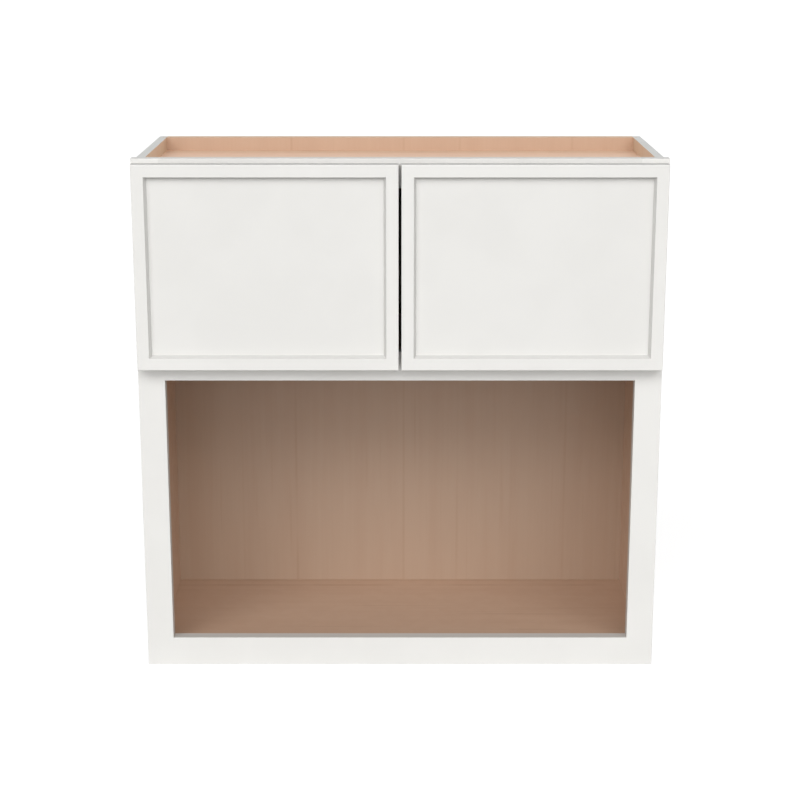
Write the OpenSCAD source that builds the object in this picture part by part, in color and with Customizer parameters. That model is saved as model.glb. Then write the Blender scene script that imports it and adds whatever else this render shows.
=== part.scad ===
// Wall-hung microwave cabinet: a face-framed plywood case with an open niche below and a
// closed compartment above, behind two slim-framed doors on concealed hinges.
// +X is to the right, +Y is to the wall and +Z is up. The origin is in the middle of the
// box around the closed cabinet, at its bottom. All sizes are in millimetres.

/* [Case] */
// Width across the face frame
cab_w = 762; // [610:1:914]
// Height of the case
cab_h = 762; // [710:1:1067]
// Depth of the case, face frame included
cab_d = 305; // [230:1:610]
// Height of the open niche, between the bottom rail and the middle rail
niche_h = 398; // [300:1:430]
// Thickness of each side panel
side_t = 12.5; // [10:0.5:19]
// How far the face frame stands out past each side panel
side_inset = 6.4; // [2:0.1:10]
// Thickness of the top panel
top_t = 12; // [9:0.5:19]
// How far the top panel lies below the top of the case
top_recess = 19.5; // [10:0.5:25]
// Thickness of the fixed shelf over the niche
shelf_t = 12; // [9:0.5:19]
// Thickness of the bottom panel
bottom_t = 12; // [9:0.5:19]
// How far the bottom rail stands up past the bottom panel, as a lip along the niche's floor
bottom_lip = 5; // [0:0.5:8]
// Depth of the dados and of the back groove in each side panel
dado_depth = 6; // [3:0.5:8]
// Thickness of the tongues on the panels' ends, which fill the dados
tongue_t = 6; // [4:0.5:8]
// Thickness of the back panel
back_t = 6; // [4:0.5:12]
// Height of the upper hanging rail
upper_hanging_h = 75; // [50:1:100]
// Height of the lower hanging rail
lower_hanging_h = 75; // [50:1:100]
// Thickness of the hanging rails
hanging_t = 12; // [10:0.5:22]

/* [Face frame] */
// Thickness of the face frame
frame_t = 19; // [18:0.5:22]
// Width of each stile
stile_w = 39; // [36:0.5:50]
// Height of the top rail
top_rail_h = 42; // [32:0.5:56]
// Height of the middle rail
middle_rail_h = 43; // [34:0.5:60]
// Height of the bottom rail
bottom_rail_h = 43; // [32:0.5:60]
// Depth of the groove in the back of each stile that takes the side panel
side_groove = 5; // [3:0.5:7]
// Radius of the face frame's free front edges
frame_ease = 0.8; // [0.4:0.1:1.5]

/* [Pocket screws] */
// Angle between a pocket and the frame's back
pocket_angle = 15; // [13:0.5:17]
// Diameter of the pocket
pocket_d = 9.5; // [9:0.1:10.5]
// Distance from the rail's end to the floor of the pocket, along the screw
pocket_stop = 13; // [10:0.5:16]
// Distance of each pocket's centre from the nearer edge of its rail
pocket_edge = 11; // [8:0.5:14]
// Length of a pocket screw under its head
pocket_screw_l = 30; // [25:0.5:36]
// Diameter of a pocket screw
pocket_screw_d = 3.6; // [3:0.1:4.2]
// Diameter of a pocket screw's head
pocket_head_d = 8.4; // [7:0.1:8.8]
// Thickness of a pocket screw's head
pocket_head_t = 2; // [1.5:0.1:3]

/* [Doors] */
// Thickness of a door's frame
door_t = 20.5; // [18:0.5:21]
// Thickness of a door's centre panel
door_panel_t = 12; // [12:0.5:13]
// Gap between a closed door and the face frame
door_gap = 3; // [2.8:0.1:4]
// Width of face frame left bare beside each door
side_reveal = 2.5; // [1.5:0.5:6]
// Height of face frame left bare above the doors
top_reveal = 6; // [3:0.5:15]
// How far the doors lap over the middle rail
bottom_overlay = 23; // [16:0.5:30]
// Gap between the two doors
centre_gap = 4; // [3:0.5:8]
// Width of the flat face of a door's frame
door_frame_w = 17.5; // [16:0.5:40]
// Width of the bevel between the flat face and the centre panel
bevel_w = 3.6; // [1:0.1:5]
// How far the centre panel reaches behind the flat face of the frame
panel_lap = 6; // [3:0.5:8]
// Radius of the door's outer front edges
front_ease = 1.2; // [0.5:0.1:2]
// Radius of the door's outer back edges
back_ease = 0.8; // [0.4:0.1:1.2]
// Side of the square keys in the door's mitres
key_size = 11; // [8:0.5:12]
// Thickness of the keys
key_t = 3; // [2:0.5:3]
// Diameter of a door bumper
bumper_d = 9.5; // [7:0.5:11]
// Distance of a bumper's centre from the door's free edge and from its top or bottom edge
bumper_inset = 10; // [8:0.5:10]

/* [Hinges] */
// Distance of each hinge from the nearer end of its door
hinge_inset = 75; // [66:0.5:80]
// Outer diameter of the hinge cup
cup_d = 35; // [34:0.5:38]
// Wood left between the cup's bore and the door's edge
cup_tab = 3; // [2.6:0.1:3.2]
// Wall of the hinge cup
cup_wall = 0.8; // [0.6:0.1:0.9]
// Thickness of the cup's flange
flange_t = 1; // [0.8:0.1:1.1]
// How far the flange laps past the bore
flange_lap = 0.8; // [0.4:0.1:1.2]
// Distance between the cup's two screws
ear_spacing = 45; // [42:0.5:52]
// Distance from the centre of the cup to the line of its screws
ear_offset = 9.5; // [6:0.5:11]
// Radius of the flange's ears round the screws
ear_r = 5.5; // [4.5:0.1:6]
// Diameter of the hinge pin
pin_d = 2.2; // [2:0.1:2.4]
// Distance of the pin from the door's outer edge
pin_inset = 6.6; // [6.4:0.1:6.7]
// Distance of the pin in front of the door's back face
pin_depth = 6.8; // [6.6:0.1:7]
// Diameter of the arm's knuckle
knuckle_d = 3.8; // [3.4:0.1:4]
// Width of the arm inside the cup
arm_w = 8; // [7:0.5:9]
// Thickness of the arm and of its plate
arm_t = 1.6; // [1.2:0.1:1.8]
// Thickness of the two cheeks that hold the pin
cheek_t = 2.8; // [2:0.1:3]
// How deep the cheeks stay below the cup's mouth
cheek_top = 2; // [1:0.5:4]
// Height of the arm's plate on the stile
plate_h = 28; // [24:1:40]
// How far the plate wraps behind the stile
wrap_l = 7; // [4:0.5:12]
// Distance between the plate's two screws
plate_spacing = 16; // [12:0.5:18]
// Thickness of the closing spring
spring_t = 0.5; // [0.4:0.1:0.6]
// Width of the closing spring
spring_w = 6; // [5:0.5:7]
// Length of the closing spring
spring_l = 22; // [16:1:24]

/* [Hinge screws] */
// Diameter of the hinge screws
screw_d = 3.5; // [3:0.1:4]
// Diameter of a hinge screw's head
screw_head_d = 6.6; // [6:0.1:7.2]
// Thickness of a hinge screw's head
screw_head_t = 1.4; // [1.2:0.1:1.5]
// Length of a cup screw under its head
cup_screw_l = 10; // [8:0.5:11.5]
// Length of an arm screw under its head
arm_screw_l = 16; // [12:0.5:20]

/* [Clearances] */
// Gap between pieces that move past each other
moving_clear = 0.3; // [0.2:0.05:0.4]
// Radial gap between the arm's knuckle and the pin
running_clear = 0.05; // [0.02:0.01:0.08]
// Radial gap round pressed and screwed pieces
press_clear = 0.02; // [0.01:0.01:0.05]
// Gap between the arm and the front of the stile
stile_clear = 0.1; // [0.05:0.05:0.2]
// Depth of the cup's bore beyond the cup
bore_clear = 0.2; // [0.1:0.1:0.5]

/* [Hidden] */
$fn = 96;

// Overshoot of a cutting tool past the face it cuts
over = 1;

paint = [0.94, 0.93, 0.91];
paint_recess = [0.92, 0.91, 0.89];
maple = [0.87, 0.71, 0.55];
plywood = [0.82, 0.66, 0.49];
nickel = [0.74, 0.74, 0.73];
zinc = [0.80, 0.78, 0.70];
clear_rubber = [0.86, 0.87, 0.86];

// Depth, with the front of the closed doors and the wall equally far from the origin
total_d = cab_d + door_gap + door_t;
frame_y = door_gap + door_t - total_d / 2;
frame_back_y = frame_y + frame_t;
frame_mid_y = frame_y + frame_t / 2;
wall_y = frame_y + cab_d;
back_y = wall_y - hanging_t - back_t;
door_back_y = frame_y - door_gap;

// Width
frame_x = cab_w / 2;
stile_in_x = frame_x - stile_w;
side_out_x = frame_x - side_inset;
side_in_x = side_out_x - side_t;
dado_x = side_in_x + dado_depth;

// Height
middle_rail_z = bottom_rail_h + niche_h;
upper_opening_z = middle_rail_z + middle_rail_h;
top_rail_z = cab_h - top_rail_h;
bottom_panel_z = bottom_rail_h - bottom_lip - bottom_t;
shelf_z = upper_opening_z - shelf_t;
top_panel_z = cab_h - top_recess - top_t;

// Doors
door_x = side_reveal - frame_x;
door_z = upper_opening_z - bottom_overlay;
door_w = frame_x - side_reveal - centre_gap / 2;
door_h = cab_h - top_reveal - door_z;
strip_w = door_frame_w + bevel_w;
panel_edge = door_frame_w - panel_lap;
key_edge = (door_frame_w - key_size) / 2;
key_depth = (door_panel_t + door_t - key_t) / 2;

// Hinges, measured from the door's outer edge and its back face
cup_r = cup_d / 2;
cup_x = cup_tab + press_clear + cup_r;
cup_in_r = cup_r - cup_wall;
knuckle_r = knuckle_d / 2;
arm_depth = pin_depth + knuckle_r;
cup_depth = arm_depth + moving_clear + spring_t + cup_wall;
bore_depth = cup_depth + bore_clear;
cheek_z = arm_w / 2 + moving_clear;
pin_l = 2 * (cheek_z + cheek_t);
plate_x = stile_w - side_reveal;
cup_reach = cup_x + sqrt(pow(cup_in_r, 2) - pow(arm_w / 2, 2)) - moving_clear;
leg_x = min(cup_reach, plate_x + arm_t);
jog_y = flange_t + moving_clear;
jog_t = door_gap - stile_clear - jog_y;
plate_corner_r = 3;
recess_w = 1.1;
recess_depth = 0.8;

// ---- Helpers ----

module on_left() children();

module on_right() mirror([1, 0, 0]) children();

// Box between two opposite corners
module block(low, high) translate(low) cube(high - low);

// What is cut from a square corner at the origin to round it
module corner_cut(r) {
    difference() {
        translate([-over, -over]) square(r + over);
        translate([r, r]) circle(r);
    }
}

// Screw along -Z with its head's underside at the origin
module screw(d, l, head_d, head_t) {
    tip = d;
    difference() {
        union() {
            rotate_extrude() difference() {
                square([head_d / 2, head_t]);
                translate([head_d / 2, head_t]) mirror([1, 0]) mirror([0, 1]) corner_cut(head_t / 2);
            }
            translate([0, 0, tip - l]) cylinder(d = d, h = l - tip + over / 2);
            translate([0, 0, -l]) cylinder(d1 = d / 4, d2 = d, h = tip);
        }
        for (turn = [0, 90])
            rotate(turn) translate([-head_d / 4, -recess_w / 2, head_t - recess_depth])
                cube([head_d / 2, recess_w, recess_depth + over]);
    }
}

// ---- Case ----

// Left side panel: dados for the three panels across the case, and the groove for the back
module side_panel() {
    front_y = frame_back_y - side_groove;
    color(paint) difference() {
        block([-side_out_x, front_y, 0], [-side_in_x, wall_y, cab_h]);
        for (z = [bottom_panel_z, shelf_z, top_panel_z])
            block([-dado_x, front_y - over, z], [-side_in_x + over, back_y + over, z + tongue_t]);
        block([-dado_x, back_y, -over], [-side_in_x + over, back_y + back_t, cab_h + over]);
    }
}

// Panel across the case, from the face frame to the back panel, with a tongue in each dado
module cross_panel(z, t) {
    color(maple) {
        block([-side_in_x, frame_back_y, z], [side_in_x, back_y, z + t]);
        block([-dado_x, frame_back_y, z], [dado_x, back_y, z + tongue_t]);
    }
}

module back_panel() {
    color(maple) block([-dado_x, back_y, 0], [dado_x, back_y + back_t, cab_h]);
}

module hanging_rail(z, h) {
    color(plywood) block([-side_in_x, wall_y - hanging_t, z], [side_in_x, wall_y, z + h]);
}

// ---- Face frame ----

// The two heights of the pocket screws in a rail
function pocket_heights(z, h) = [z + pocket_edge, z + h - pocket_edge];

// Places children at the left end of a rail, with +Z along the screw towards its head
module at_pocket(z) {
    translate([-stile_in_x, frame_mid_y, z]) rotate([0, 0, pocket_angle]) rotate([0, 90, 0]) children();
}

// Every pocket in the left ends of the three rails
module at_left_pockets() {
    for (rail = [[0, bottom_rail_h], [middle_rail_z, middle_rail_h], [top_rail_z, top_rail_h]])
        for (z = pocket_heights(rail[0], rail[1])) at_pocket(z) children();
}

module pocket_screw_bore() {
    tip_room = 0.5;
    translate([0, 0, pocket_stop - pocket_screw_l - tip_room])
        cylinder(r = pocket_screw_d / 2 + press_clear, h = pocket_screw_l + tip_room + over);
}

module pocket_bore() {
    reach = frame_t / sin(pocket_angle) + pocket_d;
    translate([0, 0, pocket_stop]) cylinder(d = pocket_d, h = reach);
}

// What is cut from an upright front edge at x, with the wood on the side towards +X or -X
module upright_ease(x, z, l, mirrored) {
    translate([x, frame_y, z]) linear_extrude(height = l) mirror([mirrored, 0]) corner_cut(frame_ease);
}

// What is cut from a level front edge at z, with the wood above it or below it
module level_ease(z, half_l, mirrored) {
    translate([-half_l, frame_y, z]) rotate([90, 0, 90])
        linear_extrude(height = 2 * half_l) mirror([0, mirrored]) corner_cut(frame_ease);
}

// What is cut from the free front edges: round the frame and round its two openings
module frame_eases() {
    openings = [[bottom_rail_h, niche_h], [upper_opening_z, top_rail_z - upper_opening_z]];
    for (side = [0, 1]) {
        mirror([side, 0, 0]) upright_ease(-frame_x, -over, cab_h + 2 * over, 0);
        level_ease(side * cab_h, frame_x + over, side);
        for (opening = openings) {
            mirror([side, 0, 0]) upright_ease(-stile_in_x, opening[0], opening[1], 1);
            level_ease(opening[0] + (1 - side) * opening[1], stile_in_x, side);
        }
    }
}

// Left stile: groove for the side panel, bores for the rails' screws and the hinges' screws
module frame_stile() {
    color(paint) difference() {
        block([-frame_x, frame_y, 0], [-stile_in_x, frame_back_y, cab_h]);
        frame_eases();
        block([-side_out_x, frame_back_y - side_groove, -over],
              [-side_in_x, frame_back_y + over, cab_h + over]);
        at_left_pockets() pocket_screw_bore();
        at_hinges() at_plate_screws() screw_bore(arm_screw_l);
    }
}

module frame_rail(z, h) {
    color(paint) difference() {
        block([-stile_in_x, frame_y, z], [stile_in_x, frame_back_y, z + h]);
        frame_eases();
        for (side = [0, 1]) mirror([side, 0, 0]) for (height = pocket_heights(z, h)) at_pocket(height) {
            pocket_screw_bore();
            pocket_bore();
        }
    }
}

module frame_pocket_screws() {
    color(zinc) for (side = [0, 1]) mirror([side, 0, 0]) at_left_pockets()
        translate([0, 0, pocket_stop])
            screw(pocket_screw_d, pocket_screw_l, pocket_head_d, pocket_head_t);
}

// ---- Doors, all drawn for the left side ----

// Places children at the door's outer bottom back corner, with the door towards +X, -Y and +Z
module in_door() translate([door_x, door_back_y, door_z]) children();

// Section of a door's frame: X runs in from the outer edge, Y from the back to the front
module strip_profile() {
    difference() {
        polygon([
            [0, 0], [panel_edge, 0], [panel_edge, door_panel_t],
            [strip_w, door_panel_t], [door_frame_w, door_t], [0, door_t]
        ]);
        corner_cut(back_ease);
        translate([0, door_t]) mirror([0, 1]) corner_cut(front_ease);
    }
}

// Strip of a door's frame along +X, its outer edge at z = 0, mitred at both ends
module door_strip(l) {
    intersection() {
        rotate([180, -90, 0]) linear_extrude(height = l) strip_profile();
        translate([0, over, 0]) rotate([90, 0, 0]) linear_extrude(height = door_t + 2 * over)
            polygon([[0, 0], [l, 0], [l - strip_w, strip_w], [strip_w, strip_w]]);
    }
}

// The square keys across the four mitres
module key_blocks() {
    far_x = door_w - key_edge - key_size;
    far_z = door_h - key_edge - key_size;
    for (x = [key_edge, far_x], z = [key_edge, far_z])
        translate([x, -key_depth - key_t, z]) cube([key_size, key_t, key_size]);
}

// What the two hinges of a door take out of its back
module door_bores() {
    for (z = [hinge_inset, door_h - hinge_inset]) translate([0, 0, z]) {
        translate([cup_x, over, 0]) rotate([90, 0, 0])
            cylinder(r = cup_r + press_clear, h = bore_depth + over);
        at_ear_screws() screw_bore(cup_screw_l);
    }
}

module door_hinge_stile() {
    color(paint) in_door() difference() {
        translate([0, 0, door_h]) rotate([0, 90, 0]) door_strip(door_h);
        key_blocks();
        door_bores();
    }
}

module door_meeting_stile() {
    color(paint) in_door() difference() {
        translate([door_w, 0, 0]) rotate([0, -90, 0]) door_strip(door_h);
        key_blocks();
    }
}

module door_top_rail() {
    color(paint) in_door() difference() {
        translate([door_w, 0, door_h]) rotate([0, 180, 0]) door_strip(door_w);
        key_blocks();
    }
}

module door_bottom_rail() {
    color(paint) in_door() difference() {
        door_strip(door_w);
        key_blocks();
    }
}

module door_panel() {
    color(paint_recess) in_door() difference() {
        block([panel_edge, -door_panel_t, panel_edge], [door_w - panel_edge, 0, door_h - panel_edge]);
        door_bores();
    }
}

module door_corner_keys() color(plywood) in_door() key_blocks();

// Soft domes on the door's back that meet the face frame
module door_bumpers() {
    height = door_gap - moving_clear;
    base = height / 3;
    dome_r = (pow(bumper_d / 2, 2) + pow(height - base, 2)) / (2 * (height - base));
    color(clear_rubber) in_door() for (z = [bumper_inset, door_h - bumper_inset])
        translate([door_w - bumper_inset, 0, z]) rotate([-90, 0, 0]) rotate_extrude() {
            square([bumper_d / 2, base]);
            intersection() {
                translate([0, height - dome_r]) circle(dome_r);
                square([bumper_d / 2, height]);
            }
        }
}

// ---- Hinges, drawn at the left door's outer edge and back face ----

// Places children at a hinge of the left door, at height z in the door
module at_hinge(z) in_door() translate([0, 0, z]) children();

module at_hinges() for (z = [hinge_inset, door_h - hinge_inset]) at_hinge(z) children();

// Places children at the two screws of a cup, with their heads towards +Z
module at_ear_screws() {
    for (z = [-ear_spacing / 2, ear_spacing / 2])
        translate([cup_x + ear_offset, flange_t, z]) rotate([-90, 0, 0]) children();
}

// Places children at the two screws of an arm's plate, with their heads towards +Z
module at_plate_screws() {
    for (z = [-plate_spacing / 2, plate_spacing / 2])
        translate([plate_x + arm_t, door_gap + frame_t / 2, z]) rotate([0, 90, 0]) children();
}

module screw_bore(l) {
    tip_room = 0.5;
    translate([0, 0, -l - tip_room]) cylinder(r = screw_d / 2 + press_clear, h = l + tip_room + over);
}

// Cylinder along Y, from the depth given to the back of the flange
module cup_cylinder(r, depth) {
    translate([cup_x, flange_t, 0]) rotate([90, 0, 0]) cylinder(r = r, h = depth + flange_t);
}

// Outline of the flange, with X in from the door's edge and Y up
module flange_outline() {
    translate([cup_x, 0]) circle(cup_r + flange_lap);
    for (y = [-ear_spacing / 2, ear_spacing / 2]) translate([cup_x + ear_offset, y]) circle(ear_r);
    translate([cup_x + ear_offset - ear_r, -ear_spacing / 2]) square([2 * ear_r, ear_spacing]);
}

// Pressed steel cup: dish, flange with two ears, and the two cheeks that hold the pin
module hinge_cup() {
    cheek_l = pin_inset + knuckle_d;
    color(nickel) difference() {
        union() {
            difference() {
                union() {
                    cup_cylinder(cup_r, cup_depth);
                    translate([0, flange_t, 0]) rotate([90, 0, 0])
                        linear_extrude(height = flange_t) flange_outline();
                }
                translate([0, over, 0]) cup_cylinder(cup_in_r, cup_depth - cup_wall + over);
            }
            intersection() {
                cup_cylinder(cup_r - cup_wall / 2, cup_depth - cup_wall / 2);
                for (side = [0, 1]) mirror([0, 0, side])
                    block([0, -cup_depth, cheek_z], [cheek_l, -cheek_top, cheek_z + cheek_t]);
            }
        }
        translate([pin_inset, -pin_depth, -pin_l / 2]) cylinder(r = pin_d / 2 + press_clear, h = pin_l);
        at_ear_screws() screw_bore(cup_screw_l);
    }
}

module hinge_pin() {
    color(nickel) translate([pin_inset, -pin_depth, -pin_l / 2]) cylinder(d = pin_d, h = pin_l);
}

// Leaf on the cup's floor, under the arm
module hinge_spring() {
    color(zinc) translate([cup_x - spring_l / 2, -cup_depth + cup_wall, -spring_w / 2])
        cube([spring_l, spring_t, spring_w]);
}

// Side view of the arm: knuckle, strip along the cup's floor, leg out of its mouth, and the
// jog in front of the stile
module arm_profile() {
    knee_x = leg_x - arm_t;
    difference() {
        union() {
            translate([pin_inset, -pin_depth]) circle(knuckle_r);
            translate([pin_inset, -arm_depth]) square([leg_x - pin_inset, arm_t]);
            translate([knee_x, -arm_depth]) square([arm_t, arm_depth + jog_y + jog_t]);
            translate([knee_x, jog_y]) square([plate_x + arm_t - knee_x, jog_t]);
            translate([plate_x, jog_y]) square([arm_t, door_gap + over - jog_y]);
        }
        translate([pin_inset, -pin_depth]) circle(pin_d / 2 + running_clear);
        translate([leg_x, -arm_depth]) mirror([1, 0]) corner_cut(arm_t);
    }
}

// Bent steel arm: its plate lies on the stile's inner edge and wraps behind the stile
module hinge_arm() {
    color(nickel) difference() {
        union() {
            translate([0, 0, -arm_w / 2]) linear_extrude(height = arm_w) arm_profile();
            translate([plate_x, door_gap, 0]) rotate([90, 0, 90]) linear_extrude(height = arm_t)
                difference() {
                    translate([0, -plate_h / 2]) square([frame_t + arm_t, plate_h]);
                    for (side = [0, 1]) mirror([0, side]) translate([0, -plate_h / 2])
                        corner_cut(plate_corner_r);
                }
            block([plate_x - wrap_l, door_gap + frame_t, -plate_h / 2],
                  [plate_x + arm_t, door_gap + frame_t + arm_t, plate_h / 2]);
        }
        at_plate_screws() screw_bore(arm_screw_l);
    }
}

module hinge_cup_screws() {
    color(nickel) at_hinges() at_ear_screws() screw(screw_d, cup_screw_l, screw_head_d, screw_head_t);
}

module hinge_arm_screws() {
    color(nickel) at_hinges() at_plate_screws() screw(screw_d, arm_screw_l, screw_head_d, screw_head_t);
}

module at_lower_hinge() at_hinge(hinge_inset) children();

module at_upper_hinge() at_hinge(door_h - hinge_inset) children();

// ---- Assembly ----

on_left() side_panel();  // left_side_panel
on_right() side_panel();  // right_side_panel
cross_panel(top_panel_z, top_t);  // top_panel
cross_panel(shelf_z, shelf_t);  // fixed_shelf
cross_panel(bottom_panel_z, bottom_t);  // bottom_panel
back_panel();
hanging_rail(cab_h - upper_hanging_h, upper_hanging_h);  // upper_hanging_rail
hanging_rail(0, lower_hanging_h);  // lower_hanging_rail
on_left() frame_stile();  // left_frame_stile
on_right() frame_stile();  // right_frame_stile
frame_rail(top_rail_z, top_rail_h);  // top_frame_rail
frame_rail(middle_rail_z, middle_rail_h);  // middle_frame_rail
frame_rail(0, bottom_rail_h);  // bottom_frame_rail
frame_pocket_screws();
on_left() door_hinge_stile();  // left_door_hinge_stile
on_left() door_meeting_stile();  // left_door_meeting_stile
on_left() door_top_rail();  // left_door_top_rail
on_left() door_bottom_rail();  // left_door_bottom_rail
on_left() door_panel();  // left_door_panel
on_left() door_corner_keys();  // left_door_corner_keys
on_left() door_bumpers();  // left_door_bumpers
on_right() door_hinge_stile();  // right_door_hinge_stile
on_right() door_meeting_stile();  // right_door_meeting_stile
on_right() door_top_rail();  // right_door_top_rail
on_right() door_bottom_rail();  // right_door_bottom_rail
on_right() door_panel();  // right_door_panel
on_right() door_corner_keys();  // right_door_corner_keys
on_right() door_bumpers();  // right_door_bumpers
on_left() at_lower_hinge() hinge_cup();  // left_lower_hinge_cup
on_left() at_upper_hinge() hinge_cup();  // left_upper_hinge_cup
on_right() at_lower_hinge() hinge_cup();  // right_lower_hinge_cup
on_right() at_upper_hinge() hinge_cup();  // right_upper_hinge_cup
on_left() at_lower_hinge() hinge_arm();  // left_lower_hinge_arm
on_left() at_upper_hinge() hinge_arm();  // left_upper_hinge_arm
on_right() at_lower_hinge() hinge_arm();  // right_lower_hinge_arm
on_right() at_upper_hinge() hinge_arm();  // right_upper_hinge_arm
on_left() at_lower_hinge() hinge_pin();  // left_lower_hinge_pin
on_left() at_upper_hinge() hinge_pin();  // left_upper_hinge_pin
on_right() at_lower_hinge() hinge_pin();  // right_lower_hinge_pin
on_right() at_upper_hinge() hinge_pin();  // right_upper_hinge_pin
on_left() at_lower_hinge() hinge_spring();  // left_lower_hinge_spring
on_left() at_upper_hinge() hinge_spring();  // left_upper_hinge_spring
on_right() at_lower_hinge() hinge_spring();  // right_lower_hinge_spring
on_right() at_upper_hinge() hinge_spring();  // right_upper_hinge_spring
on_left() hinge_cup_screws();  // left_hinge_cup_screws
on_right() hinge_cup_screws();  // right_hinge_cup_screws
on_left() hinge_arm_screws();  // left_hinge_arm_screws
on_right() hinge_arm_screws();  // right_hinge_arm_screws
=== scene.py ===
import math

import bpy
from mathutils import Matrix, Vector


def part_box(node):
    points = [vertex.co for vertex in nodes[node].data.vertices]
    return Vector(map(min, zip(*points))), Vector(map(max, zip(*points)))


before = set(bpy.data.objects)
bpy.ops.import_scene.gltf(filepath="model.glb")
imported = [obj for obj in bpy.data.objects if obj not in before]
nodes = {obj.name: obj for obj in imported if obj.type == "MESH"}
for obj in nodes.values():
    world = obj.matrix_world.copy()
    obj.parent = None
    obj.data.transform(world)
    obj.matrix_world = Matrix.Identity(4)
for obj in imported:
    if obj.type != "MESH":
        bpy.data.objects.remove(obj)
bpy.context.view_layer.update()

# Lengths are in metres, angles in degrees and colours linear. In the names below, SCALE is the number of a
# noise's features in a metre, for wood along the grain and then across it. RANGE is the two values of a
# pattern between which its effect grows. FADE is the two distances between which a mark fades away. SHARE is
# how much of a pattern goes into the colour, and HEIGHT is how far a bump stands out.

# ---- Places and spans ----

# How near to a face a point still counts as lying on it
SKIN = 0.002
# Where most values of a noise lie
NOISE_SPAN = (0.3, 0.7)
SIDE_OUTER_X = abs(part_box("left_side_panel")[0].x)
TOP_PANEL_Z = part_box("top_panel")[1].z
BACK_FACE_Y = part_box("back_panel")[0].y

# ---- Values of the paint ----

# The tones for edges are painted shade. The paint is one colour, and the faces of a frame piece that look
# sideways, up or down, and the edges of the side panels, get a darker copy of it that stands in for their
# shade.
PAINT = (0.872, 0.862, 0.835)
PAINT_SHADE = (0.852, 0.842, 0.815)
EDGE_PAINTED_SHADE = (0.628, 0.620, 0.600)
# The top rail's paint is a darker copy of the frame paint: painted shade for the shade the doors give the
# strip above them.
TOP_RAIL_PAINTED_SHADE_PALE = (0.808, 0.797, 0.771)
TOP_RAIL_PAINTED_SHADE_DARK = (0.788, 0.778, 0.752)
TOP_RAIL_EDGE_PAINTED_SHADE = (0.665, 0.640, 0.610)
DOOR_TOP_EDGE_PAINTED_SHADE = (0.500, 0.493, 0.477)
PANEL_PAINT = (0.845, 0.835, 0.809)
PANEL_PAINT_SHADE = (0.826, 0.816, 0.790)
# The side panels' edges get a darker copy of the paint: painted shade.
SIDE_EDGE_PAINTED_SHADE = (0.63, 0.635, 0.615)
SIDE_EDGE_PAINTED_SHADE_DARK = (0.59, 0.595, 0.575)
PAINT_ROUGHNESS = (0.40, 0.48)
PAINT_ROUGHNESS_SCALE = 60.0
CLOUD_SCALE = 9.0
CLOUD_RANGE = (0.35, 0.65)
FRONTAL_RANGE = (0.25, 0.72)
PEEL_SCALE = 330.0
PEEL_HEIGHT = 0.00004
SIDE_PEEL_HEIGHT = 0.00003
PAINTED_GRAIN_SCALE = (14.0, 620.0)
PAINTED_GRAIN_HEIGHT = 0.00003

# ---- Values of the maple veneer ----

MAPLE_PALE = (0.472, 0.339, 0.248)
MAPLE = (0.438, 0.301, 0.215)
MAPLE_DARK = (0.347, 0.215, 0.137)
# The first three factors act on the colour of maple above the top panel and make the open recess paler than
# the
# niche below it: painted light. TINT is the factor in the rest of the cabinet.
BACK_RECESS_PAINTED_LIGHT = (1.28, 1.24, 1.22)
SIDE_RECESS_PAINTED_LIGHT = (1.47, 1.53, 1.48)
DECK_RECESS_PAINTED_LIGHT = (1.82, 1.72, 1.66)
DECK_TINT = (1.20, 1.175, 1.165)
SIDE_TINT = (1.25, 1.24, 1.24)
VENEER_ROUGHNESS = (0.36, 0.46)
VENEER_ROUGHNESS_SCALE = 45.0
SIDE_FIGURE_OFFSET = (0.3, 0.7, 0.1)
DECK_FIGURE_OFFSET = (0.0, 0.2, 0.4)
BAND_SCALE = (1.3, 26.0)
BAND_RANGE = (0.3, 0.7)
BAND_SHARE = 0.5
FIBRE_SCALE = (7.0, 330.0)
FIBRE_SHARE = 0.5
FIBRE_HEIGHT = 0.00005
FLECK_SCALE = (34.0, 120.0)
FLECK_SHARE = 0.14
# What is taken from the sum of the tones, so that it starts near the pale colour
TONE_BASE = 0.14
LINE_SCALE = (2.6, 150.0)
LINE_RANGE = (0.64, 0.82)
LINE_SHARE = 0.3
DECK_LINE_SHARE = 0.6
LEAF_WIDTH = 0.0872
LEAF_SHARE = 0.12
# Place of one joint between leaves, on the axis across the grain
FIRST_JOINT = 0.0058
# Keeps the random strengths of the joints apart from the random tones of the leaves
JOINT_SEED = 877.0
JOINT_FADE = (0.0006, 0.0028)
JOINT_SHARE = 0.28
JOINT_SCALE = (5.0, 12.0)
JOINT_RANGE = (0.38, 0.60)
JOINT_FAINTEST = 0.25

# ---- Values of the marks and painted shade on the level panels, near the back panel ----

# A soft band of painted shade on the top panel, darker towards the back panel
DECK_PAINTED_SHADE = (0.372, 0.272, 0.194)
PAINTED_SHADE_BAND_FADE = (0.012, 0.056)
PAINTED_SHADE_BAND_SHARE = 0.5
# Along the corner with the back panel, a dark joint with painted shade beside it
CORNER_JOINT_AND_SHADE_FADE = (0.004, 0.011)
CORNER_JOINT_AND_SHADE_SHARE = 0.34
STREAK_DISTANCE = 0.0285
STREAK_Y = BACK_FACE_Y - STREAK_DISTANCE
STREAK_FADE = (0.001, 0.006)
STREAK_SCALE = (8.0, 20.0, 20.0)
STREAK_RANGE = (0.35, 0.60)
STREAK_SHARES = (0.10, 0.50)

# ---- Values of the sawn plies and raw wood ----

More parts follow.
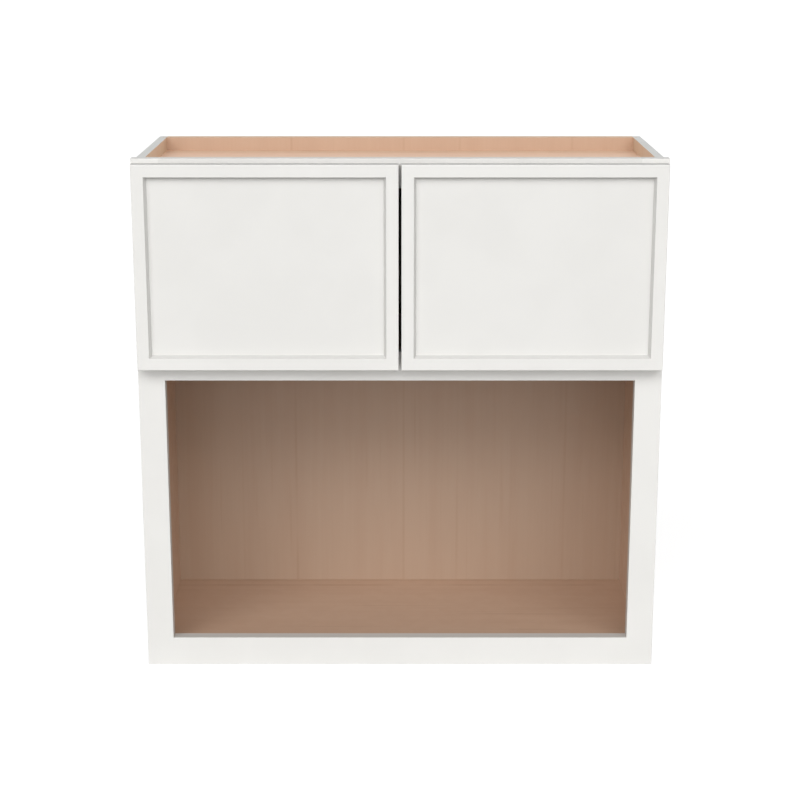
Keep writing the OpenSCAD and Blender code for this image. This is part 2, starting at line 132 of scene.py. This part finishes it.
PLY_PALE = (0.70, 0.50, 0.33)
PLY_DARK = (0.43, 0.27, 0.16)
PLY_THICKNESS = 0.0015
PLY_WANDER_SCALE = 900.0
PLY_WANDER = 0.7
PLY_RANGE = (0.1, 0.6)
RAIL_PALE = (0.72, 0.55, 0.38)
RAIL_DARK = (0.58, 0.41, 0.26)
RAIL_ROUGHNESS = (0.62, 0.74)
RAIL_BAND_SCALE = (1.8, 60.0)
RAIL_BAND_SHARE = 0.8
RAIL_FIBRE_SCALE = (30.0, 900.0)
RAIL_FIBRE_SHARE = 0.3
RAIL_FIBRE_HEIGHT = 0.00012
RAIL_RANGE = (0.35, 0.75)

# ---- Values of the metal and rubber ----

NICKEL = (0.66, 0.65, 0.62)
NICKEL_DULL = (0.55, 0.54, 0.51)
NICKEL_ROUGHNESS = (0.24, 0.36)
SPRING = (0.50, 0.50, 0.52)
SPRING_DULL = (0.38, 0.37, 0.38)
SPRING_ROUGHNESS = (0.28, 0.42)
ZINC = (0.64, 0.64, 0.63)
ZINC_DULL = (0.62, 0.58, 0.46)
ZINC_ROUGHNESS = (0.26, 0.40)
FILM_SCALE = 120.0
FILM_RANGE = (0.4, 0.75)
ROLLED_SCALE = (40.0, 900.0)
ROLLED_HEIGHT = 0.00001
BUMPER = (0.83, 0.85, 0.83)
BUMPER_DULL = (0.74, 0.76, 0.73)
BUMPER_ROUGHNESS = (0.22, 0.36)
BUMPER_CLEARNESS = 0.65
BUMPER_IOR = 1.49
DUST_SCALE = 700.0
DUST_RANGE = (0.45, 0.7)
DUST_HEIGHT = 0.00002

# ---- Values of the floor, the world and the camera ----

FLOOR_HALF = 30.0
FLOOR_COLOR = (0.55, 0.55, 0.545, 1.0)
FLOOR_SEEN_COLOR = (0.45, 0.45, 0.45, 1.0)
FLOOR_SEEN_GLOW = 0.74
WORLD_FILL = (0.30, 0.30, 0.30, 1.0)
BACKDROP = (1.0, 1.0, 1.0, 1.0)
CAMERA_PLACE = (0.0, -2.90, 1.0764)
CAMERA_PITCH = 74.222
CAMERA_LENS_MM = 87.44
CAMERA_SENSOR_MM = 36.0
CAMERA_SHIFT = 0.095
CAMERA_REACH = 100.0


# ---- Node graphs ----

class Graph:
    """One material, with short calls for its nodes."""

    def __init__(self, name):
        self.material = bpy.data.materials.new(name)
        self.material.use_nodes = True
        self.tree = self.material.node_tree
        self.shader = self.tree.nodes["Principled BSDF"]
        self.coordinates = self.tree.nodes.new("ShaderNodeTexCoord")

    def put(self, socket, value):
        if isinstance(value, bpy.types.NodeSocket):
            self.tree.links.new(value, socket)
        elif isinstance(value, tuple) and len(value) == 3 and socket.type == "RGBA":
            socket.default_value = (*value, 1.0)
        else:
            socket.default_value = value

    def node(self, kind, inputs, output=0, **settings):
        made = self.tree.nodes.new(kind)
        for key, value in settings.items():
            setattr(made, key, value)
        for key, value in inputs.items():
            self.put(made.inputs[key], value)
        return made.outputs[output]

    def math(self, operation, a, b=0.0):
        return self.node("ShaderNodeMath", {0: a, 1: b}, operation=operation)

    def times(self, vector, factors):
        return self.node("ShaderNodeVectorMath", {0: vector, 1: factors}, operation="MULTIPLY")

    def place(self):
        return self.coordinates.outputs["Object"]

    def normal(self):
        return self.coordinates.outputs["Normal"]

    def axis(self, vector, letter):
        return self.node("ShaderNodeSeparateXYZ", {0: vector}, output="XYZ".index(letter))

    def noise(self, scale, detail=2.0, roughness=0.5, distortion=0.0, offset=(0, 0, 0)):
        """Noise whose features are 1 / scale long on each axis."""
        scale = scale if isinstance(scale, tuple) else (scale,) * 3
        moved = self.node("ShaderNodeVectorMath", {0: self.place(), 1: offset}, operation="ADD")
        return self.node("ShaderNodeTexNoise", {
            "Vector": self.times(moved, scale), "Scale": 1.0, "Detail": detail,
            "Roughness": roughness, "Distortion": distortion})

    def random(self, number):
        """A random value from 0 to 1 for each whole number."""
        return self.node("ShaderNodeTexWhiteNoise", {"W": number}, noise_dimensions="1D")

    def spread(self, value, low, high, to_low=0.0, to_high=1.0):
        return self.node("ShaderNodeMapRange", {
            "Value": value, "From Min": low, "From Max": high, "To Min": to_low, "To Max": to_high},
            interpolation_type="SMOOTHSTEP")

    def between(self, noise, low, high):
        """A value that varies between two limits as a noise does."""
        return self.spread(noise, *NOISE_SPAN, low, high)

    def mix(self, share, a, b):
        """Mixes two colours, which a Mix node takes at its inputs 6 and 7 and gives at its output 2."""
        made = self.tree.nodes.new("ShaderNodeMix")
        made.data_type = "RGBA"
        self.put(made.inputs[0], share)
        self.put(made.inputs[6], a)
        self.put(made.inputs[7], b)
        return made.outputs[2]

    def bump(self, height, distance, strength=1.0, normal=None):
        inputs = {"Height": height, "Distance": distance, "Strength": strength}
        if normal is not None:
            inputs["Normal"] = normal
        return self.node("ShaderNodeBump", inputs)

    def finish(self, color, roughness, normal, **fixed):
        self.put(self.shader.inputs["Base Color"], color)
        self.put(self.shader.inputs["Roughness"], roughness)
        self.put(self.shader.inputs["Normal"], normal)
        for name, value in fixed.items():
            self.put(self.shader.inputs[name.replace("_", " ")], value)
        return self.material


def along(axis, long_way, across):
    """Scale that stretches a pattern along one axis."""
    return tuple(long_way if letter == axis else across for letter in "XYZ")


def on_faces(g, face_axis):
    """1 on the two faces of a panel and 0 on its edges."""
    return g.math("GREATER_THAN", g.math("ABSOLUTE", g.axis(g.normal(), face_axis)), 0.5)


# ---- Paint ----

def paint_color(g, pale, shade):
    clouds = g.noise(CLOUD_SCALE, detail=3.0)
    return g.mix(g.spread(clouds, *CLOUD_RANGE), shade, pale)


def frontal(g):
    """1 on faces square to the depth of the cabinet, 0 on edges and sides, and between the two on eased edges
    and bevels. It places the darker edge tone of the paint, which is painted shade."""
    return g.spread(g.math("ABSOLUTE", g.axis(g.normal(), "Y")), *FRONTAL_RANGE)


def paint_bump(g, grain_axis):
    """Orange peel of sprayed paint, and on solid wood a trace of the grain under it."""
    peel = g.bump(g.noise(PEEL_SCALE), PEEL_HEIGHT)
    if grain_axis is None:
        return peel
    grain = g.noise(along(grain_axis, *PAINTED_GRAIN_SCALE), detail=3.0)
    return g.bump(grain, PAINTED_GRAIN_HEIGHT, normal=peel)


def paint(name, grain_axis, pale=PAINT, shade=PAINT_SHADE, edge=EDGE_PAINTED_SHADE):
    g = Graph(name)
    roughness = g.between(g.noise(PAINT_ROUGHNESS_SCALE, detail=3.0), *PAINT_ROUGHNESS)
    # Faces that look sideways, up or down get the darker edge tone: painted shade.
    color = g.mix(frontal(g), edge, paint_color(g, pale, shade))
    return g.finish(color, roughness, paint_bump(g, grain_axis))


# ---- Maple veneer and plywood ----

def leaf_joints(g, grain_axis, across_axis):
    """A tone for each leaf of veneer, and a hairline, uneven along its length, where two of them meet."""
    position = g.axis(g.place(), across_axis)
    leaves = g.math("DIVIDE", g.math("SUBTRACT", position, FIRST_JOINT), LEAF_WIDTH)
    tone = g.random(g.math("FLOOR", leaves))
    strength = g.random(g.math("ADD", g.math("ROUND", leaves), JOINT_SEED))
    distance = g.math("MULTIPLY", g.math("PINGPONG", leaves, 0.5), LEAF_WIDTH)
    uneven = g.spread(g.noise(along(grain_axis, *JOINT_SCALE)), *JOINT_RANGE, JOINT_FAINTEST, 1.0)
    line = g.math("MULTIPLY", g.spread(distance, *JOINT_FADE, 1.0, 0.0), uneven)
    return tone, g.math("MULTIPLY", line, strength)


def back_marks(g, color, above):
    """Darkens a level panel along its corner with the back panel, in a dark joint with painted shade beside
    it, in one uneven streak before it and, above the top panel, in a soft band of painted shade that takes in
    both."""
    y = g.axis(g.place(), "Y")
    before = g.math("SUBTRACT", BACK_FACE_Y, y)
    # Above the top panel, a soft band of painted shade towards the back panel
    band = g.math("MULTIPLY", g.spread(before, *PAINTED_SHADE_BAND_FADE, PAINTED_SHADE_BAND_SHARE, 0.0), above)
    color = g.mix(band, color, DECK_PAINTED_SHADE)
    # A dark joint along the corner, with painted shade beside it
    corner = g.spread(before, *CORNER_JOINT_AND_SHADE_FADE, CORNER_JOINT_AND_SHADE_SHARE, 0.0)
    away = g.math("ABSOLUTE", g.math("SUBTRACT", y, STREAK_Y))
    uneven = g.spread(g.noise(STREAK_SCALE, detail=3.0), *STREAK_RANGE, *STREAK_SHARES)
    streak = g.math("MULTIPLY", g.spread(away, *STREAK_FADE, 1.0, 0.0), uneven)
    return g.mix(g.math("ADD", corner, streak), color, MAPLE_DARK)


def maple_color(g, grain_axis, across_axis, lined=LINE_SHARE, offset=(0, 0, 0)):
    """Clear maple veneer: pale, with a fine even figure, leaf joints and a few darker lines."""
    leaf_tone, joint = leaf_joints(g, grain_axis, across_axis)
    bands = g.noise(along(grain_axis, *BAND_SCALE), detail=4.0, roughness=0.6, distortion=0.4, offset=offset)
    fibre = g.noise(along(grain_axis, *FIBRE_SCALE), detail=4.0, roughness=0.6, offset=offset)
    fleck = g.noise(along(grain_axis, *FLECK_SCALE), offset=offset)
    lines = g.noise(along(grain_axis, *LINE_SCALE), roughness=0.4, offset=offset)
    banded = g.spread(bands, *BAND_RANGE, 0.0, BAND_SHARE)
    tone = g.math("ADD", banded, g.math("MULTIPLY", fibre, FIBRE_SHARE))
    tone = g.math("ADD", tone, g.math("MULTIPLY", leaf_tone, LEAF_SHARE))
    tone = g.math("ADD", tone, g.math("MULTIPLY", fleck, FLECK_SHARE))
    body = g.mix(g.math("SUBTRACT", tone, TONE_BASE), MAPLE_PALE, MAPLE)
    lined_share = g.spread(lines, *LINE_RANGE, 0.0, lined)
    dark = g.math("ADD", lined_share, g.math("MULTIPLY", joint, JOINT_SHARE))
    return g.mix(dark, body, MAPLE_DARK), fibre


def veneer(g, grain_axis, across_axis, recess_painted_light, tint=(1, 1, 1), marks=None, **figure):
    """Colour, roughness and normal of maple veneer, whose colour is paler above the top panel as painted
    light.
    """
    color, fibre = maple_color(g, grain_axis, across_axis, **figure)
    above = g.math("GREATER_THAN", g.axis(g.place(), "Z"), TOP_PANEL_Z - SKIN)
    if marks:
        color = marks(g, color, above)
    # Above the top panel the maple is made paler: painted light.
    tinted = g.times(color, tint)
    recess_lit_color = g.times(color, recess_painted_light)
    roughness = g.between(g.noise(VENEER_ROUGHNESS_SCALE, detail=3.0), *VENEER_ROUGHNESS)
    return g.mix(above, tinted, recess_lit_color), roughness, g.bump(fibre, FIBRE_HEIGHT, strength=0.8)


def ply_edge(g, face_axis):
    """The plies that show on a sawn edge, in turn dark and pale."""
    position = g.axis(g.place(), face_axis)
    turn = g.math("SINE", g.math("MULTIPLY", position, math.pi / PLY_THICKNESS))
    wander = g.math("MULTIPLY", g.noise(PLY_WANDER_SCALE), PLY_WANDER)
    return g.mix(g.spread(g.math("ADD", turn, wander), *PLY_RANGE), PLY_DARK, PLY_PALE)


def plywood(name, face_axis, grain_axis, across_axis, recess_painted_light, **more):
    g = Graph(name)
    color, roughness, normal = veneer(g, grain_axis, across_axis, recess_painted_light, **more)
    color = g.mix(on_faces(g, face_axis), ply_edge(g, face_axis), color)
    return g.finish(color, roughness, normal)


def side_plywood(name):
    """Side panel: maple veneer inside, paint outside and on its edges."""
    g = Graph(name)
    color, roughness, normal = veneer(g, "Z", "Y", SIDE_RECESS_PAINTED_LIGHT, tint=SIDE_TINT, offset=SIDE_FIGURE_OFFSET)
    deep = g.math("LESS_THAN", g.math("ABSOLUTE", g.axis(g.place(), "X")), SIDE_OUTER_X - SKIN)
    inside = g.math("MULTIPLY", on_faces(g, "X"), deep)
    outside = paint_color(g, PAINT, PAINT_SHADE)
    # The edges are painted darker than the outside: painted shade.
    band = paint_color(g, SIDE_EDGE_PAINTED_SHADE, SIDE_EDGE_PAINTED_SHADE_DARK)
    painted = g.mix(on_faces(g, "X"), band, outside)
    normal = g.bump(g.noise(PEEL_SCALE), SIDE_PEEL_HEIGHT, normal=normal)
    return g.finish(g.mix(inside, painted, color), roughness, normal)


def raw_wood(name, grain_axis):
    g = Graph(name)
    bands = g.noise(along(grain_axis, *RAIL_BAND_SCALE), detail=5.0, roughness=0.65, distortion=0.3)
    fibre = g.noise(along(grain_axis, *RAIL_FIBRE_SCALE), detail=3.0)
    banded = g.math("MULTIPLY", bands, RAIL_BAND_SHARE)
    tone = g.math("ADD", banded, g.math("MULTIPLY", fibre, RAIL_FIBRE_SHARE))
    color = g.mix(g.spread(tone, *RAIL_RANGE), RAIL_PALE, RAIL_DARK)
    return g.finish(color, g.between(fibre, *RAIL_ROUGHNESS), g.bump(fibre, RAIL_FIBRE_HEIGHT))


# ---- Metal and rubber ----

def metal(name, bright, dull, brushed_axis, roughness):
    g = Graph(name)
    film = g.noise(FILM_SCALE, detail=4.0, roughness=0.6)
    rolled = g.noise(along(brushed_axis, *ROLLED_SCALE), detail=3.0)
    color = g.mix(g.spread(film, *FILM_RANGE), bright, dull)
    return g.finish(color, g.between(rolled, *roughness), g.bump(rolled, ROLLED_HEIGHT), Metallic=1.0)


def rubber(name):
    g = Graph(name)
    dust = g.noise(DUST_SCALE, detail=3.0)
    color = g.mix(g.spread(dust, *DUST_RANGE), BUMPER, BUMPER_DULL)
    return g.finish(color, g.between(dust, *BUMPER_ROUGHNESS), g.bump(dust, DUST_HEIGHT),
                    Transmission_Weight=BUMPER_CLEARNESS, IOR=BUMPER_IOR)


# ---- Every node gets its material ----

def dress(material, *names):
    for name in names:
        mesh = nodes[name].data
        mesh.materials.clear()
        mesh.materials.append(material)


SIDES = ("left", "right")
LEVELS = ("lower", "upper")
upright_paint = paint("paint_upright_grain", "Z")
level_paint = paint("paint_level_grain", "X")
dress(upright_paint, *(f"{side}_frame_stile" for side in SIDES))
# The top rail gets a darker paint and the door top rails a darker edge tone: painted shade.
dress(paint("paint_top_rail_painted_shade", "X", TOP_RAIL_PAINTED_SHADE_PALE, TOP_RAIL_PAINTED_SHADE_DARK, TOP_RAIL_EDGE_PAINTED_SHADE), "top_frame_rail")
dress(level_paint, "middle_frame_rail", "bottom_frame_rail",
      *(f"{side}_door_bottom_rail" for side in SIDES))
dress(upright_paint, *(f"{side}_door_{part}_stile" for side in SIDES for part in ("hinge", "meeting")))
dress(paint("paint_door_top_painted_shade", "X", edge=DOOR_TOP_EDGE_PAINTED_SHADE), *(f"{side}_door_top_rail" for side in SIDES))
dress(paint("paint_fibreboard", None, PANEL_PAINT, PANEL_PAINT_SHADE),
      *(f"{side}_door_panel" for side in SIDES))
dress(side_plywood("side_plywood"), *(f"{side}_side_panel" for side in SIDES))
dress(plywood("back_plywood", "Y", "Z", "X", BACK_RECESS_PAINTED_LIGHT), "back_panel")
dress(plywood("deck_plywood", "Z", "X", "Y", DECK_RECESS_PAINTED_LIGHT, tint=DECK_TINT, marks=back_marks,
              lined=DECK_LINE_SHARE, offset=DECK_FIGURE_OFFSET),
      "top_panel", "fixed_shelf", "bottom_panel")
dress(raw_wood("hanging_rail_wood", "X"), "upper_hanging_rail", "lower_hanging_rail",
      *(f"{side}_door_corner_keys" for side in SIDES))
dress(metal("hinge_nickel", NICKEL, NICKEL_DULL, "X", NICKEL_ROUGHNESS),
      *(f"{side}_{place}_hinge_{part}" for side in SIDES for place in LEVELS
        for part in ("cup", "arm", "pin")))
dress(metal("spring_steel", SPRING, SPRING_DULL, "X", SPRING_ROUGHNESS),
      *(f"{side}_{place}_hinge_spring" for side in SIDES for place in LEVELS))
dress(metal("zinc_plate", ZINC, ZINC_DULL, "Z", ZINC_ROUGHNESS), "frame_pocket_screws",
      *(f"{side}_hinge_{part}_screws" for side in SIDES for part in ("cup", "arm")))
dress(rubber("bumper_polyurethane"), *(f"{side}_door_bumpers" for side in SIDES))

# ---- Floor: seen as white with the object's shadow, while its own colour lights the object ----

floor_mesh = bpy.data.meshes.new("floor")
floor_mesh.from_pydata(
    [(x * FLOOR_HALF, y * FLOOR_HALF, 0.0) for x, y in ((-1, -1), (1, -1), (1, 1), (-1, 1))],
    [], [(0, 1, 2, 3)])
floor = bpy.data.objects.new("floor", floor_mesh)
bpy.context.scene.collection.objects.link(floor)


def seen_directly(tree):
    """1 for what the camera sees, also in gloss and through clear pieces, and 0 for light."""
    path = tree.nodes.new("ShaderNodeLightPath").outputs
    total = path["Is Camera Ray"]
    for name in ("Is Glossy Ray", "Is Transmission Ray"):
        most = tree.nodes.new("ShaderNodeMath")
        most.operation = "MAXIMUM"
        tree.links.new(total, most.inputs[0])
        tree.links.new(path[name], most.inputs[1])
        total = most.outputs[0]
    return total


floor_material = bpy.data.materials.new("pale_floor")
floor_material.use_nodes = True
tree = floor_material.node_tree
tree.nodes.clear()
output = tree.nodes.new("ShaderNodeOutputMaterial")
bounce = tree.nodes.new("ShaderNodeBsdfDiffuse")
bounce.inputs["Color"].default_value = FLOOR_COLOR
shadowed = tree.nodes.new("ShaderNodeBsdfDiffuse")
shadowed.inputs["Color"].default_value = FLOOR_SEEN_COLOR
glow = tree.nodes.new("ShaderNodeEmission")
glow.inputs["Strength"].default_value = FLOOR_SEEN_GLOW
seen = tree.nodes.new("ShaderNodeAddShader")
tree.links.new(shadowed.outputs[0], seen.inputs[0])
tree.links.new(glow.outputs[0], seen.inputs[1])
blend = tree.nodes.new("ShaderNodeMixShader")
tree.links.new(seen_directly(tree), blend.inputs[0])
tree.links.new(bounce.outputs[0], blend.inputs[1])
tree.links.new(seen.outputs[0], blend.inputs[2])
tree.links.new(blend.outputs[0], output.inputs["Surface"])
floor_mesh.materials.append(floor_material)

# ---- World ----

world = bpy.data.worlds.new("studio")
bpy.context.scene.world = world
world.use_nodes = True
tree = world.node_tree
fill = tree.nodes["Background"]
fill.inputs["Color"].default_value = WORLD_FILL
backdrop = tree.nodes.new("ShaderNodeBackground")
backdrop.inputs["Color"].default_value = BACKDROP
blend = tree.nodes.new("ShaderNodeMixShader")
tree.links.new(seen_directly(tree), blend.inputs[0])
tree.links.new(fill.outputs[0], blend.inputs[1])
tree.links.new(backdrop.outputs[0], blend.inputs[2])
tree.links.new(blend.outputs[0], tree.nodes["World Output"].inputs["Surface"])


# ---- Lamps ----

def sun(name, azimuth, elevation, width, level):
    """Soft distant lamp, in front of the cabinet at azimuth 0. A white face square to it renders as level, in
    linear light."""
    data = bpy.data.lights.new(name, "SUN")
    data.angle = math.radians(width)
    data.energy = level * math.pi
    lamp = bpy.data.objects.new(name, data)
    around, up = math.radians(azimuth), math.radians(elevation)
    towards = Vector((math.sin(around) * math.cos(up), -math.cos(around) * math.cos(up), math.sin(up)))
    lamp.rotation_euler = (-towards).to_track_quat("-Z", "Y").to_euler()
    bpy.context.scene.collection.objects.link(lamp)


sun("key", azimuth=0, elevation=38, width=30, level=0.087)
sun("key_left", azimuth=-35, elevation=38, width=30, level=0.200)
sun("key_right", azimuth=35, elevation=38, width=30, level=0.167)
sun("left", azimuth=-35, elevation=20, width=30, level=0.055)
sun("front", azimuth=0, elevation=0, width=100, level=0.529)
sun("back_left", azimuth=-135, elevation=8, width=40, level=0.150)
sun("back_right", azimuth=135, elevation=8, width=40, level=0.195)

# ---- Camera ----

camera_data = bpy.data.cameras.new("camera")
camera_data.lens = CAMERA_LENS_MM
camera_data.sensor_width = CAMERA_SENSOR_MM
camera_data.shift_y = CAMERA_SHIFT
camera_data.clip_end = CAMERA_REACH
camera = bpy.data.objects.new("camera", camera_data)
camera.location = CAMERA_PLACE
camera.rotation_euler = (math.radians(CAMERA_PITCH), 0.0, 0.0)
bpy.context.scene.collection.objects.link(camera)
bpy.context.scene.camera = camera
bpy.context.scene.view_settings.view_transform = "Standard"
